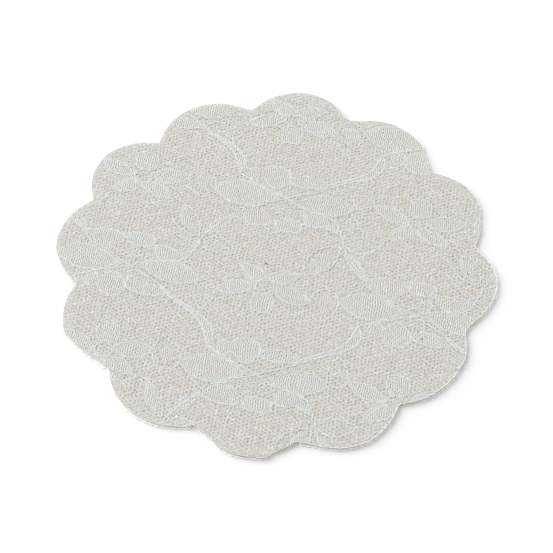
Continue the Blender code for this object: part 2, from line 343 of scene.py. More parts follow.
cordRoutes = {
    # name: (radius in mm, (s, t) points along the cord)
    "rise": (0.36, ((-27, 5), (-25, 8.6), (-22, 12.8), (-18.6, 16.6), (-16.4, 20.2), (-13.2, 22.6),
        (-9.2, 23.6), (-6.2, 25.8), (-2.4, 27.6), (0.4, 29), (3.6, 30.6), (7.4, 32.3), (11.5, 34.5))),
    "fall": (0.47, ((-17.8, 36.5), (-15.8, 35.5), (-14, 34.4), (-10.6, 33), (-7, 31.4), (-3.2, 30),
        (0.2, 28.8), (2.6, 27.3), (5.6, 26), (9, 25.1), (12.8, 24.4), (16, 23.5), (18.4, 21.6),
        (20, 18.4), (21.4, 15.4), (21.8, 13.2))),
    "archThread": (0.28, ((-9.6, 24), (-6, 24.9), (-2, 25.3), (2, 25.3), (6, 25.6))),
    "underLeftEdge": (0.38, ((-18.4, 16.4), (-16, 17.1), (-13, 16), (-9.8, 15.4), (-5.6, 16),
        (-3.8, 17.3), (-2.8, 18.6), (-2.2, 17), (-2.9, 15.6))),
    "underRightEdge": (0.4, ((6.6, 15.4), (7, 18.9), (9.6, 18.4), (12.4, 18.8), (14.4, 19.6),
        (16.6, 18.7), (19.4, 17.3))),
    "blossomStem": (0.4, ((0.4, 33), (0.1, 35.4), (0.4, 38), (2.4, 38.9))),
    "fanOuter": (0.42, ((-26.4, 5), (-24.2, 6.8), (-21.4, 7.3), (-18.6, 6.8), (-15.9, 4.9), (-13.9, 2.2),
        (-12.4, -0.6), (-11, -2.6), (-8.8, -5.4), (-6, -8.3))),
    "fanMiddle": (0.26, ((-25.8, 4.2), (-20.8, 3.9), (-14.8, 3))),
    "fanLower": (0.32, ((-26.3, 2.2), (-22.8, 1), (-18.8, 0.7), (-14.3, 1.6))),
    "flowerCross": (0.34, ((-4.8, -8.5), (-2.2, -5.3), (0.2, -3.3), (3, -2), (6.4, -2.6), (9.8, -1.7),
        (9.9, 2), (11, 6), (13.8, 9.8))),
    "flowerLink": (0.3, ((9.6, -3.1), (7, -4.3), (4.9, -7), (2.6, -8.4), (0.9, -10), (1, -12.2))),
    "flowerBrow": (0.3, ((-11.8, -1.5), (-8.4, -1.7), (-5.2, -3), (-2.2, -4.8), (-0.4, -6.6))),
    "jointRight": (0.36, ((13.2, -12.2), (14.8, -12))),
    "jointDrop": (0.36, ((23.2, -9.8), (24.2, -9.5))),
    "dropTail": (0.34, ((-22.4, -22.6), (-22, -25))),
    "stemOuter": (0.46, ((11.5, -38.5), (14, -35.8), (18, -33), (22, -30.8), (25.5, -28.4),
        (28, -25.6), (29.6, -22), (31, -18.3))),
    "stemInner": (0.43, ((11.5, -38.5), (15, -36), (19, -33.6), (24, -31.2), (28.5, -28.6),
        (31, -26), (32.2, -22.4), (31, -18.3))),
    "hairline": (0.2, ((-5.9, -20), (-5.6, -27))),
    "hairlineRight": (0.2, ((3.6, -12.8), (6.8, -15), (7.3, -20))),
}
petalCord = 0.345  # radius of the cord round each petal, in mm
thinCord = 0.7  # share of it round the heart and its stars
routeStep = 0.6  # mm between the points of a cord


def petalLoop(footS, footT, tipS, tipT, width, skew, power, bow, sidePoints=14):
    foot, tip = np.array([footS, footT]), np.array([tipS, tipT])
    length = np.linalg.norm(tip - foot)
    axis = (tip - foot) / length
    across = np.array([-axis[1], axis[0]])
    share = (1.0 - np.cos(math.pi * np.arange(1, sidePoints + 1) / (sidePoints + 1))) / 2.0
    half = width / 2.0 * np.sin(math.pi * share ** skew) ** power
    middle = foot + np.outer(share * length, axis) + np.outer(bow * np.sin(math.pi * share), across)
    left, right = middle + np.outer(half, across), middle - np.outer(half, across)
    return np.vstack([foot, right, tip, left[::-1]])


def ovalLoop(s, t, length, width, angle, count=16):
    turn = 2.0 * math.pi * np.arange(count) / count
    along, across = unitFromDegrees(angle), unitFromDegrees(angle + 90.0)
    return (np.array([s, t]) + np.outer(length / 2.0 * np.cos(turn), along)
            + np.outer(width / 2.0 * np.sin(turn), across))


def smoothRoute(points, step):
    # a Catmull-Rom run through the points
    points = np.asarray(points, dtype=float)
    knots = np.vstack([2 * points[0] - points[1], points, 2 * points[-1] - points[-2]])
    run = [points[0]]
    for a, b, c, d in zip(knots, knots[1:], knots[2:], knots[3:]):
        count = max(1, round(np.linalg.norm(c - b) / step))
        for u in np.arange(1, count + 1) / count:
            run.append(0.5 * (2 * b + (c - a) * u + (2 * a - 5 * b + 4 * c - d) * u ** 2
                              + (3 * b - a - 3 * c + d) * u ** 3))
    return np.array(run)


def stemRibbon():
    # the filled band between the two cords of a stem
    outer = smoothRoute(cordRoutes["stemOuter"][1], 2.0)
    inner = smoothRoute(cordRoutes["stemInner"][1], 2.0)
    return np.vstack([outer[2:-1], inner[-2:2:-1]])


def plateObject(name, loops):
    # flat faces on the chart, which tell the net where it is filled
    bm = bmesh.new()
    for loop in loops:
        bm.faces.new([bm.verts.new((s * mm, t * mm, 0.0)) for s, t in loop])
    return meshObject(name, bm)


def repeatLoops(loops, margin=6.0):
    # the loops in every repeat that comes near the doily
    kept = []
    for place in everyRepeat():
        for loop in loops:
            moved = placeRepeat(loop, *place)
            if within(fabricToPlan(moved), -margin).any():
                kept.append(moved)
    return kept


finishes = {
    "calicoWarm": "#bdb29f",
    "calicoPale": "#cbc3b3",
    # painted shade in the low points of the weave, seen through the net's holes
    "calicoShade": "#9a8a70",
    "knitCool": "#a2aaae",
    "knitPale": "#e2e8ea",
    "knitWarm": "#c8baa6",
    # painted shade towards the holes and in the grooves between ribs, and the thinner, warmer yarn there
    "knitDeep": "#b0a99b",
    "cordWhite": "#dadfdc",
    "cordShade": "#b8bcb9",
    "fluff": "#fbfbf9",
    "fluffShade": "#d2d3cf",
    "husk": "#bfa07c",
    "huskDark": "#64503a",
    "board": "#e9e9e9",
}
surfaces = {
    # what each material's shader is given
    "unbleachedCottonCanvas": {"Roughness": 0.92, "Sheen Weight": 0.15, "Sheen Roughness": 0.6},
    "polyesterWarpKnit": {"Roughness": 0.85, "Sheen Weight": 0.2, "Sheen Roughness": 0.5,
                          "Subsurface Weight": 0.45},
    "cordonnetYarn": {"Roughness": 0.8, "Sheen Weight": 0.25, "Sheen Roughness": 0.45,
                      "Subsurface Weight": 0.35},
    "frayedYarnEnds": {"Roughness": 0.9, "Subsurface Weight": 0.6},
    "cottonSeedHusk": {"Roughness": 0.7},
    "matWhiteBoard": {"Roughness": 1.0, "Specular IOR Level": 0.0},
}
grains = {
    # mm across one patch of each pattern, its detail and its roughness
    # single fibres are finer, and are drawn as coarse as they need to show
    "calicoMottle": (5.263, 5.0, 0.65),
    "knitYarn": (0.5263, 2.0, 0.7),
    "knitPatch": (1.25, 2.0, 0.7),
    "knitPlace": (5.882, 2.0, 0.5),
    "knitFibre": (0.25, 3.0, 0.5),
    "cordYarn": (0.6667, 3.0, 0.7),
    "cordHair": (0.1923, 3.0, 0.5),
    "fluffYarn": (0.9091, 3.0, 0.7),
    "huskPatch": (0.6667, 2.0, 0.5),
}
ranges = {
    # how a pattern or a share of the mesh is spread: from these two values, to these two or to 0 and 1
    "calicoCrown": (-2.0, 1.2),
    "knitYarn": (0.34, 0.66),
    # painted highlight: paler on a thread's crown
    "knitPaintedCrownLight": (0.0, 0.8, 1.0, 0.0),
    "warmPatch": (0.36, 0.64, 0.0, 0.72),
    "warmNet": (0.0, 1.0, 0.75, 0.72),
    # painted shade towards a hole, where the yarn is also thinner
    "thinAndShadedEdge": (0.3, 1.0, 0.0, 0.7),
    "thinPlace": (0.42, 0.6, 0.15, 0.9),
    "thinNet": (0.0, 1.0, 0.26, 0.2),
    "cordYarn": (0.3, 0.65),
}
lightReach = 0.3  # mm that light soaks into loose fibre
ribPaintedShading = 0.55  # share of a petal's tone that follows its ribs, a painted highlight on their crowns and painted shade between them; the rest follows its yarn


def newMaterial(name):
    # a new material, its node adder, its shader and the place on the object that its patterns follow
    material = bpy.data.materials.new(name)
    material.use_nodes = True
    shader = material.node_tree.nodes["Principled BSDF"]
    fillInputs(shader, {"IOR": 1.5, "Subsurface Radius": (1.0, 1.0, 1.0),
                        "Subsurface Scale": lightReach * mm, **surfaces[name]})
    add = partial(addNode, material.node_tree)
    return material, add, shader, add("TexCoord").outputs["Object"]


def addGrain(add, place, name):
    size, detail, roughness = grains[name]
    return add("TexNoise", place, 1.0 / (size * mm), detail, roughness)


def addRange(add, value, name, **settings):
    return add("MapRange", value, *ranges[name], **settings)


def addTone(add, share, *tones):
    # between two tones, each a node or the name of a finish
    return add("Mix", share, *(hexToLinear(finishes[tone]) if tone in finishes else tone for tone in tones),
               data_type="RGBA")


def addBump(add, height, strength, depth):
    return add("Bump", {"Height": height, "Strength": strength, "Distance": depth * mm})


def meshShare(add, name):
    # a share that the mesh carries, from 0 to 1
    return add("Attribute", attribute_name=name).outputs["Fac"]


def buildCalico():
    # Unbleached cotton canvas, plain woven: matt and warm, with fine thread crowns and soft mottling; the low
    # points between its threads are painted darker, a painted shade.
    material, add, shader, place = newMaterial("unbleachedCottonCanvas")
    turned = add("Mapping", place, {"Rotation": (0.0, 0.0, math.radians(canvas["threadAngle"])),
                                    "Scale": (1.0 / (canvas["threadPitch"] * mm),) * 3})
    split = add("SeparateXYZ", turned)
    waves = [add("Math COSINE", add("Math MULTIPLY", split.outputs[axis], 2.0 * math.pi)) for axis in "XY"]
    crownShare = addRange(add, add("Math ADD", *waves), "calicoCrown")
    tone = addTone(add, addGrain(add, place, "calicoMottle"), "calicoWarm", "calicoPale")
    # painted shade: the low points between the threads get a darker colour
    shadedWeave = addTone(add, crownShare, "calicoShade", tone)
    slubs = add("TexNoise", turned, 0.5, 3.0, 0.7)  # each two threads wide
    fillInputs(shader, {"Base Color": addTone(add, meshShare(add, "cutEdge"), shadedWeave, "fluff"),
                        "Normal": addBump(add, add("Math ADD", crownShare, slubs), 0.5, 0.12)})
    return material


def buildKnit():
    # Polyester warp knit: cool off-white yarn, soft and matt, thinner and warmer at the edges of its holes,
    # where a darker colour also paints in the shade of its threads and of the grooves between ribs.
    material, add, shader, place = newMaterial("polyesterWarpKnit")
    edge, fill = meshShare(add, "holeEdge"), meshShare(add, "fill")
    grain = addRange(add, addGrain(add, place, "knitYarn"), "knitYarn")
    # painted highlight: a thread's crown is paler, darker towards its hole
    crown = addRange(add, edge, "knitPaintedCrownLight")
    ridge = add("Mix", add("Math MULTIPLY", fill, ribPaintedShading), grain, crown)
    tone = addTone(add, ridge, "knitCool", "knitPale")
    patches = addRange(add, addGrain(add, place, "knitPatch"), "warmPatch")
    warmth = add("Math MULTIPLY", patches, addRange(add, fill, "warmNet"))
    # painted shade: darker towards each hole and along the grooves between ribs, where the yarn is also
    # thinner
    thin = addRange(add, edge, "thinAndShadedEdge", interpolation_type="SMOOTHSTEP")
    places = addRange(add, addGrain(add, place, "knitPlace"), "thinPlace")
    drawn = add("Math MULTIPLY", thin, add("MapRange", fill, 0.0, 1.0, 1.0, places))
    deepAndShadedShare = add("Math MAXIMUM", drawn, addRange(add, fill, "thinNet"))
    tinted = addTone(add, warmth, tone, "knitWarm")
    fillInputs(shader, {"Base Color": addTone(add, deepAndShadedShare, tinted, "knitDeep"),
                        "Normal": addBump(add, addGrain(add, place, "knitFibre"), 0.35, 0.05)})
    return material


def buildCordonnet():
    # Cordonnet, a thick soft yarn of two loose plies: the whitest part of the lace, matt and slightly hairy.
    material, add, shader, place = newMaterial("cordonnetYarn")
    span = addRange(add, addGrain(add, place, "cordYarn"), "cordYarn")
    fillInputs(shader, {"Base Color": addTone(add, span, "cordShade", "cordWhite"),
                        "Normal": addBump(add, addGrain(add, place, "cordHair"), 0.4, 0.05)})
    return material


def buildFluff():
    # Frayed polyester and cotton ends at the cut: nearly white, matt and very soft.
    material, add, shader, place = newMaterial("frayedYarnEnds")
    fillInputs(shader, {"Base Color": addTone(add, addGrain(add, place, "fluffYarn"), "fluffShade", "fluff")})
    return material


def buildHusk():
    # Cotton seed husk left in unbleached cloth: small, brown and dull.
    material, add, shader, place = newMaterial("cottonSeedHusk")
    share = add("Math MULTIPLY_ADD", addGrain(add, place, "huskPatch"), 0.5, meshShare(add, "husk"),
                use_clamp=True)
    fillInputs(shader, {"Base Color": addTone(add, share, "husk", "huskDark")})
    return material


canvas = {
    "threadPitch": 0.80,  # mm between threads of a heavy plain-woven cotton
    "threadAngle": 4.0,
    "crownHeight": 0.10,  # mm from the low points between threads to their crowns
    "margin": 0.3,  # mm past the cut within which the weave is kept
    "top": 1.30,  # mm, just under the lace
    "topSpacing": 3.0,
    "seed": 11,
    "edge": (
        # share of what shows past the lace, mm in from the cut, mm above the floor where little of it shows
        # and where much does, how white and fluffy
        (0.8, 0.45, 0.01, 0.01, 0.0), (1.0, 0.10, 0.12, 0.30, 0.6), (1.0, 0.0, 0.26, 0.85, 1.0),
        (0.95, 0.0, 0.40, 1.05, 1.0), (0.6, 0.05, 0.50, 1.14, 1.0), (0.0, 0.20, 0.42, 1.10, 1.0),
        (0.0, 0.45, 0.26, 0.98, 0.9), (0.0, 0.70, 0.45, 1.05, 0.7), (0.0, 0.85, 1.26, 1.26, 0.5),
        (0.0, 1.15, 1.30, 1.30, 0.6),
    ),
    "little": 0.3,  # mm that shows
    "much": 1.0,
    "weaveInset": 0.6,  # mm in from the cut that the weave below begins
    "topInset": 2.0,
    "fray": 0.12,  # mm that the cut edge wanders, in waves of this length
    "frayWave": 1.6,
    "fraySeed": 3,
}


def buildWeaveTree(values):
    add, given = newTree("plainWeave", values)
    spacing = add("Math DIVIDE", given["Thread Pitch"], math.sqrt(2.0))
    side = add("Math MULTIPLY", spacing, add("Math SUBTRACT", given["Count"], 1.0))
    grid = add("MeshGrid", side, side, given["Count"], given["Count"])
    place = add("InputPosition")
    split = add("SeparateXYZ", place)
    steps = add("Math DIVIDE", add("Math ADD", split.outputs["X"], split.outputs["Y"]), spacing)
    level = add("Math MULTIPLY", add("Math PINGPONG", steps, 1.0), given["Crown Height"])
    relief = add("SetPosition", grid, {"Offset": add("CombineXYZ", {"Z": level})})
    turn = add("EulerToRotation", add("CombineXYZ", {"Z": given["Angle"]}))
    turned = add("Transform", relief, {"Rotation": turn})
    flat = add("VectorMath MULTIPLY", place, (1.0, 1.0, 0.0))
    near = add("Proximity", given["Geometry"], {"Sample Position": flat})
    far = add("Compare GREATER_THAN", near.outputs["Distance"], given["Margin"])
    return endTree(add, given, add("DeleteGeometry", turned, far))


def buildBaseCloth(material):
    rng = np.random.default_rng(canvas["seed"])
    normals = outlineNormals()
    plate = plateObject("cutPlate", [outline])
    count = oddCount(doily["half"], canvas["threadPitch"] / math.sqrt(2.0))
    values = {**lengthsOf(canvas, "Thread Pitch", "Crown Height", "Margin"), "Count": count,
              "Angle": math.radians(45.0 + canvas["threadAngle"]), "Material": material}
    weave = runTree(plate, buildWeaveTree(values), values)
    dropObject(plate)
    lattice = meshPoints(weave) / mm
    bpy.data.meshes.remove(weave)

    fray = canvas["fray"] * (wobble(outline, canvas["frayWave"], canvas["fraySeed"])
                             + rng.uniform(-0.5, 0.5, len(outline)))
    bm = bmesh.new()
    layer = bm.verts.layers.float.new("cutEdge")
    loops = []
    lift = np.interp(splay, (canvas["little"], canvas["much"]), (0.0, 1.0))
    for share, inset, low, high, fluff in canvas["edge"]:
        ring = outline + (share * (splay + fray) - inset)[:, None] * normals
        heights = low + (high - low) * lift
        loops.append([bm.verts.new((x * mm, y * mm, z * mm)) for (x, y), z in zip(ring, heights)])
        for vert in loops[-1]:
            vert[layer] = fluff
    bridgeLoops(bm, loops)
    fillCap(bm, loops[0], lattice[within(lattice, canvas["weaveInset"])], True)
    steps = np.arange(-doily["half"], doily["half"], canvas["topSpacing"])
    across, along = np.meshgrid(steps, steps)
    tops = np.column_stack([across.ravel(), along.ravel(), np.full(across.size, canvas["top"])])
    fillCap(bm, loops[-1], tops[within(tops, canvas["topInset"])], False)
    bmesh.ops.recalc_face_normals(bm, faces=bm.faces)
    piece = meshObject("baseCloth", bm)
    piece.data.shade_smooth()
    piece.data.materials.append(material)
    return piece


def fillCap(bm, loop, inner, below):
    # triangles between a closed loop of the mesh and loose points inside it
    count = len(loop)
    flat = [vert.co.xy / mm for vert in loop] + [Vector(point[:2]) for point in inner]
    edges = [(k, (k + 1) % count) for k in range(count)]
    faces, origins = delaunay_2d_cdt(flat, edges, [], 1, 1e-4)[2:4]
    verts = []
    for sources in origins:
        k = sources[0]
        verts.append(loop[k] if k < count else bm.verts.new(Vector(inner[k - count]) * mm))
    for face in faces:
        corners = [verts[k] for k in face]
        bm.faces.new(corners[::-1] if below else corners)


net = {
    "walePitch": 1.245,  # mm between the rows of holes, an 18 gauge knit
    "coursePitch": 1.41,  # mm from hole to hole along a row
    "halfWidth": 80.0,  # mm from the middle that the rows cover
    "halfLength": 84.0,
    "holeShare": 0.285,  # share of a cell that its hole takes, across and along
    "sheerShare": 0.22,
    "holeLean": 63.0,  # degrees from the courses to the long way of each hole
    "holeStretch": 1.30,  # how much longer that way, and narrower across it
    "ribPitch": 0.72,  # mm between the ribs of the filled petals
    "stitchPitch": 1.40,
    "groove": 0.9,  # how deep the painted shade of the groove between two ribs is, up to 1
    "ribHoleAcross": 0.20,  # share of a stitch that its hole takes
    "ribHoleAlong": 0.42,
    "slopeAcross": 0.62,  # share of a stitch within the foot of its slope
    "slopeAlong": 0.7,
    # shares of a thread's height: groove, foot on a rib, foot in a groove, hole
    "depths": (0.6, 0.05, 0.7, 0.9),
    "smallest": 0.50,  # range of the random size of holes
    "largest": 1.38,
    "stray": 0.24,  # mm that a hole lies off its place
    "steady": 0.2,  # share of that, and of the random size, for the holes of a petal
    "pull": 0.22,  # how much more a hole is drawn open by a cord beside it
    "pullReach": 1.25,  # mm
    "threadHeight": 0.09,  # mm
    "fillLift": 0.05,  # mm that a filled petal stands up
    "liftRamp": 0.9,
    "bottom": 1.36,  # mm above the floor
    "weld": 0.02,  # mm between points that are one
    "sliver": 0.01,  # mm across a face that is dropped
    "wander": 0.24,  # mm that a thread strays, with noise of this scale in steps to a metre
    "wanderScale": 800.0,
    "wanderRise": 0.15,  # share of it that is upward
    "drift": 0.50,  # mm that the rows drift, with noise of this scale
    "driftScale": 70.0,
    "bend": 1.5,  # mm more that the ribs drift inside a petal, from this far in
    "bendRamp": 2.2,
    "lap": 0.50,  # mm that net and clothwork lap under a petal's cord
    "seed": 7,
}
rim = {
    "inset": 0.12,  # mm in from the cut
    "radius": 0.09,  # mm, all round
    "curled": ((-78.0, 9.0, 0.17), (17.0, 36.0, 0.13), (255.0, 269.0, 0.12)),  # from, to in degrees, radius
    "section": ((-1.0, 0.0), (-0.7, 0.45), (-0.2, 0.75), (0.4, 0.75), (0.85, 0.4), (1.0, 0.0)),
    "seat": 1.40,  # mm above the floor
    "station": 0.42,
    "zigzag": 0.03,
    "wiggle": 0.09,
    "swell": 0.4,
    "seed": 9,
}


def cellObject(name, rings):
    # one cell of the knit: rings of as many corners from its border in to its hole, in mm, each corner with
    # its shade, from 0 on a thread's crown to 1 at the edge of the hole, which the knit paints as a paler
    # crown and painted shade towards the hole
    bm = bmesh.new()
    layer = bm.verts.layers.float.new("holeEdge")
    loops = []
    for shade, ring in rings:
        loop = [bm.verts.new(Vector(point) * mm) for point in ring]
        for vert, depth in zip(loop, shade):
            vert[layer] = depth
        loops.append(loop)
    bridgeLoops(bm, loops)
    return meshObject(name, bm)


def netCell(name, share):
    # the six-sided cell around one hole of the net
    across, along = net["walePitch"], net["coursePitch"]
    short, long = across / 2 - along ** 2 / (8 * across), across / 2 + along ** 2 / (8 * across)
    border = [(long, 0.0), (short, along / 2), (-short, along / 2), (-long, 0.0), (-short, -along / 2),
              (short, -along / 2)]
    lean, cross = unitFromDegrees(net["holeLean"]), unitFromDegrees(net["holeLean"] + 90.0)
    hole = []
    for corner in share * np.array(border):
        x, y = (corner @ lean) * net["holeStretch"] * lean + (corner @ cross) / net["holeStretch"] * cross
        hole.append((x, y, -net["threadHeight"]))
    return cellObject(name, [((0.0,) * 6, [(x, y, 0.0) for x, y in border]), ((1.0,) * 6, hole)])


def ribCell(name):
    # one stitch of the clothwork: half a rib on each side of a groove that has a small hole in it
    across, along = net["ribPitch"] / 2, net["stitchPitch"] / 2
    border = [(across, -along), (across, 0.0), (across, along), (0.0, along), (-across, along),
              (-across, 0.0), (-across, -along), (0.0, -along)]
    slope = [(net["slopeAcross"] * x, net["slopeAlong"] * y) for x, y in border]
    hole = [(net["ribHoleAcross"] * x, net["ribHoleAlong"] * y) for x, y in border]
    deep = -net["threadHeight"]
    # painted shade along the groove between two ribs
    groove = tuple(0.0 if x else net["groove"] for x, y in border)
    atBorder, onRib, onSlope, atHole = net["depths"]
    return cellObject(name, [
        (groove, [(x, y, 0.0 if x else atBorder * deep) for x, y in border]),
        (groove, [(x, y, (onRib if x else onSlope) * deep) for x, y in slope]),
        ((1.0,) * 8, [(x, y, atHole * deep) for x, y in hole])])


def addLattice(add, given, place, across, along):
    # points on the chart within reach of the cut, in rows; every second row is half a step along
    sides = [add("Math MULTIPLY", add("Math SUBTRACT", given[count], 1.0), pitch)
             for count, pitch in (("Columns", across), ("Rows", along))]
    points = add("MeshGrid", *sides, given["Columns"], given["Rows"])
    parity = add("Math PINGPONG", add("Math DIVIDE", add("SeparateXYZ", place), across), 1.0)
    shift = add("Math MULTIPLY", parity, add("Math MULTIPLY", along, 0.5))
    staggered = add("SetPosition", points, {"Offset": add("CombineXYZ", {"Y": shift})})
    near = add("Proximity", given["Geometry"])
    outside = add("Compare GREATER_THAN", near.outputs["Distance"], along)
    kept = add("DeleteGeometry", staggered, outside)
    seed = {"Seed": given["Seed"]}
    sizes = add("RandomValue", given["Smallest"], given["Largest"], seed)
    least, most = (add("VectorMath SCALE", (side, side, 0.0), given["Stray"]) for side in (-1.0, 1.0))
    strays = add("RandomValue", least, most, seed, data_type="FLOAT_VECTOR")
    for name, kind, value in (("holeSize", "FLOAT", sizes), ("holeStray", "FLOAT_VECTOR", strays),
                              ("cellCentre", "FLOAT_VECTOR", place)):
        kept = add("StoreNamedAttribute", kept, {"Name": name, "Value": value}, data_type=kind)
    return kept


def addDistance(add, geometry, place, element):
    near = add("Proximity", geometry, {"Sample Position": place}, target_element=element)
    return near.outputs["Distance"]


def addStray(add, noise, spread, amount):
    # how far a noise moves a point: its colour about the middle, spread over three directions
    centred = add("VectorMath SUBTRACT", noise.outputs["Color"], (0.5, 0.5, 0.5))
    return add("VectorMath SCALE", add("VectorMath MULTIPLY", centred, spread), amount)


def buildNetTree(values):
    add, given = newTree("laceNet", values)
    place = add("InputPosition")
    level = (1.0, 1.0, 0.0)
    flat = add("VectorMath MULTIPLY", place, level)
    plates = [add("ObjectInfo", given[label]).outputs["Geometry"] for label in ("Filled", "Sheer")]
    inFilled, inSheer = (add("Compare LESS_THAN", addDistance(add, plate, flat, "FACES"), net["weld"] * mm)
                         for plate in plates)
    border = addDistance(add, plates[0], flat, "EDGES")
    nearBorder = add("Compare LESS_THAN", border, given["Lap"])
    filled = add("BooleanMath OR", inFilled, nearBorder)
    unfilled = add("BooleanMath OR", add("BooleanMath NOT", inFilled), nearBorder)
    sheer = add("BooleanMath AND", unfilled, inSheer)
    bare = add("BooleanMath AND", unfilled, add("BooleanMath NOT", inSheer))

    meshes = addLattice(add, given, place, given["Wale Pitch"], given["Course Pitch"])
    stitches = addLattice(add, given, place, given["Rib Pitch"], given["Stitch Pitch"])
    joined = add("JoinGeometry")
    for points, chosen, label, fill in ((meshes, bare, "Net Cell", 0.0), (meshes, sheer, "Sheer Cell", 0.0),
                                        (stitches, filled, "Rib Cell", 1.0)):
        cell = add("ObjectInfo", given[label])
        marked = add("StoreNamedAttribute", cell.outputs["Geometry"], {"Name": "fill", "Value": fill})
        fillInputs(joined, {0: add("InstanceOnPoints", points, chosen, marked)})
    real = add("RealizeInstances", joined)

    centre, strayed = (add("InputNamedAttribute", name, data_type="FLOAT_VECTOR")
                       for name in ("cellCentre", "holeStray"))
    holeSize, holeEdge, fill = (add("InputNamedAttribute", name) for name in ("holeSize", "holeEdge", "fill"))
    routes = add("ObjectInfo", given["Cords"])
    beside = addDistance(add, add("CurveToMesh", routes.outputs["Geometry"]), centre, "EDGES")
    pull = add("MapRange", beside, 0.0, given["Pull Reach"], given["Pull"], -1.0)
    slight = add("MapRange", fill, 0.0, 1.0, 1.0, net["steady"])
    growth = add("Math MULTIPLY", add("Math ADD", holeSize, pull), slight)
    arm = add("VectorMath MULTIPLY", add("VectorMath SUBTRACT", place, centre), level)
    change = add("VectorMath ADD", add("VectorMath SCALE", arm, growth),
                 add("VectorMath SCALE", strayed, slight))
    varied = add("SetPosition", real, {"Selection": add("Compare GREATER_THAN", holeEdge, 0.9),
                                       "Offset": change})
    merged = add("MergeByDistance", varied, {"Distance": net["weld"] * mm})

    ramp = add("MapRange", border, 0.0, given["Lift Ramp"], interpolation_type="SMOOTHSTEP")
    domed = add("Math MULTIPLY", add("Math MULTIPLY", ramp, given["Fill Lift"]), fill)
    moved = add("SetPosition", merged, {"Offset": add("CombineXYZ", {"Z": domed})})
    bent = add("Math MULTIPLY", add("MapRange", border, 0.0, given["Bend Ramp"]), fill)
    drift = add("Math MULTIPLY_ADD", bent, given["Bend"], given["Drift"])
    for label, rise, amount in (("Wander", net["wanderRise"], given["Wander"]), ("Drift", 0.0, drift)):
        noise = add("TexNoise", flat, given[label + " Scale"], 1.0)
        moved = add("SetPosition", moved, {"Offset": addStray(add, noise, (2.0, 2.0, 2.0 * rise), amount)})
    return endTree(add, given, add("SetShadeSmooth", moved))


def buildLaceGround(material):
    cutPlate = plateObject("fabricCut", [planToFabric(outline)])
    filledLoops = [petalLoop(*row[1:9]) for row in petals if row[9]]
    filledLoops += [np.array(patch) for patch in filledPatches] + [stemRibbon()]
    helpers = {"Filled": plateObject("filledPlate", repeatLoops(filledLoops)),
               "Sheer": plateObject("sheerPlate", repeatLoops([ovalLoop(*row) for row in sheerPatches])),
               "Cords": curveObject("chartCords", cordRuns(onChart=True)),
               "Net Cell": netCell("netCell", net["holeShare"]),
               "Sheer Cell": netCell("sheerCell", net["sheerShare"]), "Rib Cell": ribCell("ribCell")}
    values = {
        **lengthsOf(net, "Wale Pitch", "Course Pitch", "Rib Pitch", "Stitch Pitch", "Pull Reach", "Stray",
                    "Lap", "Fill Lift", "Lift Ramp", "Wander", "Drift", "Bend", "Bend Ramp"), **helpers,
        "Columns": oddCount(net["halfWidth"], net["ribPitch"]),
        "Rows": oddCount(net["halfLength"], net["stitchPitch"]), "Pull": net["pull"] - 1.0,
        "Smallest": net["smallest"], "Largest": net["largest"], "Wander Scale": net["wanderScale"],
        "Drift Scale": net["driftScale"], "Seed": net["seed"], "Material": material}
    mesh = runTree(cutPlate, buildNetTree(values), values)
    for helper in (cutPlate, *helpers.values()):
        dropObject(helper)

    points = meshPoints(mesh)
    plan = fabricToPlan(points[:, :2] / mm)
    level = points[:, 2] / mm + net["bottom"] + net["threadHeight"]
    reach = outlineReach(plan) - rim["inset"]
    distance = np.linalg.norm(plan, axis=1)
    beyond = distance > reach
    plan[beyond] *= (reach / distance)[beyond, None]
    mesh.vertices.foreach_set("co", (np.column_stack([plan, level]) * mm).astype(np.float32).ravel())
    for name in ("cellCentre", "holeSize", "holeStray"):
        mesh.attributes.remove(mesh.attributes[name])
    parts = []
    for name, filled in (("laceGround", False), ("laceClothwork", True)):
        part = mesh.copy()
        part.name = name
        bm = bmesh.new()
        bm.from_mesh(part)
        layer = bm.verts.layers.float["fill"]
        lost = [face for face in bm.faces if all(beyond[vert.index] for vert in face.verts)
                or (face.verts[0][layer] > 0.5) != filled]
        bmesh.ops.delete(bm, geom=lost, context="FACES")
        bmesh.ops.dissolve_degenerate(bm, edges=bm.edges, dist=net["sliver"] * mm)
        bm.to_mesh(part)
        bm.free()
        parts.append(addObject(name, part))
    bpy.data.meshes.remove(mesh)
    return parts


cord = {
    "station": 0.38,  # mm between cross-sections
    # the cross-section in radii: two plies side by side on a flat foot
    "section": ((-1.0, 0.0), (-0.76, 0.20), (-0.44, 0.25), (0.0, 0.13), (0.44, 0.25), (0.76, 0.20),
                (1.0, 0.0)),
    "spread": 0.70,  # share of its radius on the chart that a cord has here
    "seat": 1.43,  # mm above the floor that the lowest lies, and steps up to the others
    "layers": 5,
    "layerStep": 0.014,
    "zigzag": 0.17,  # mm to each side, with this pitch
    "zigzagPitch": 2.5,
    "wiggle": 0.26,  # mm that the yarn wanders, with noise of this scale in steps to a metre
    "wiggleScale": 420.0,
    "swell": 0.42,  # share by which it thickens and thins, with noise of this scale
    "swellScale": 900.0,
    "crease": 1.2,  # radians between two faces that meet in a crease
    "inset": 0.35,  # mm in from the cut that the cords end
    "reach": 80.0,  # mm from the middle that they are laid out
    "seed": 5,
}


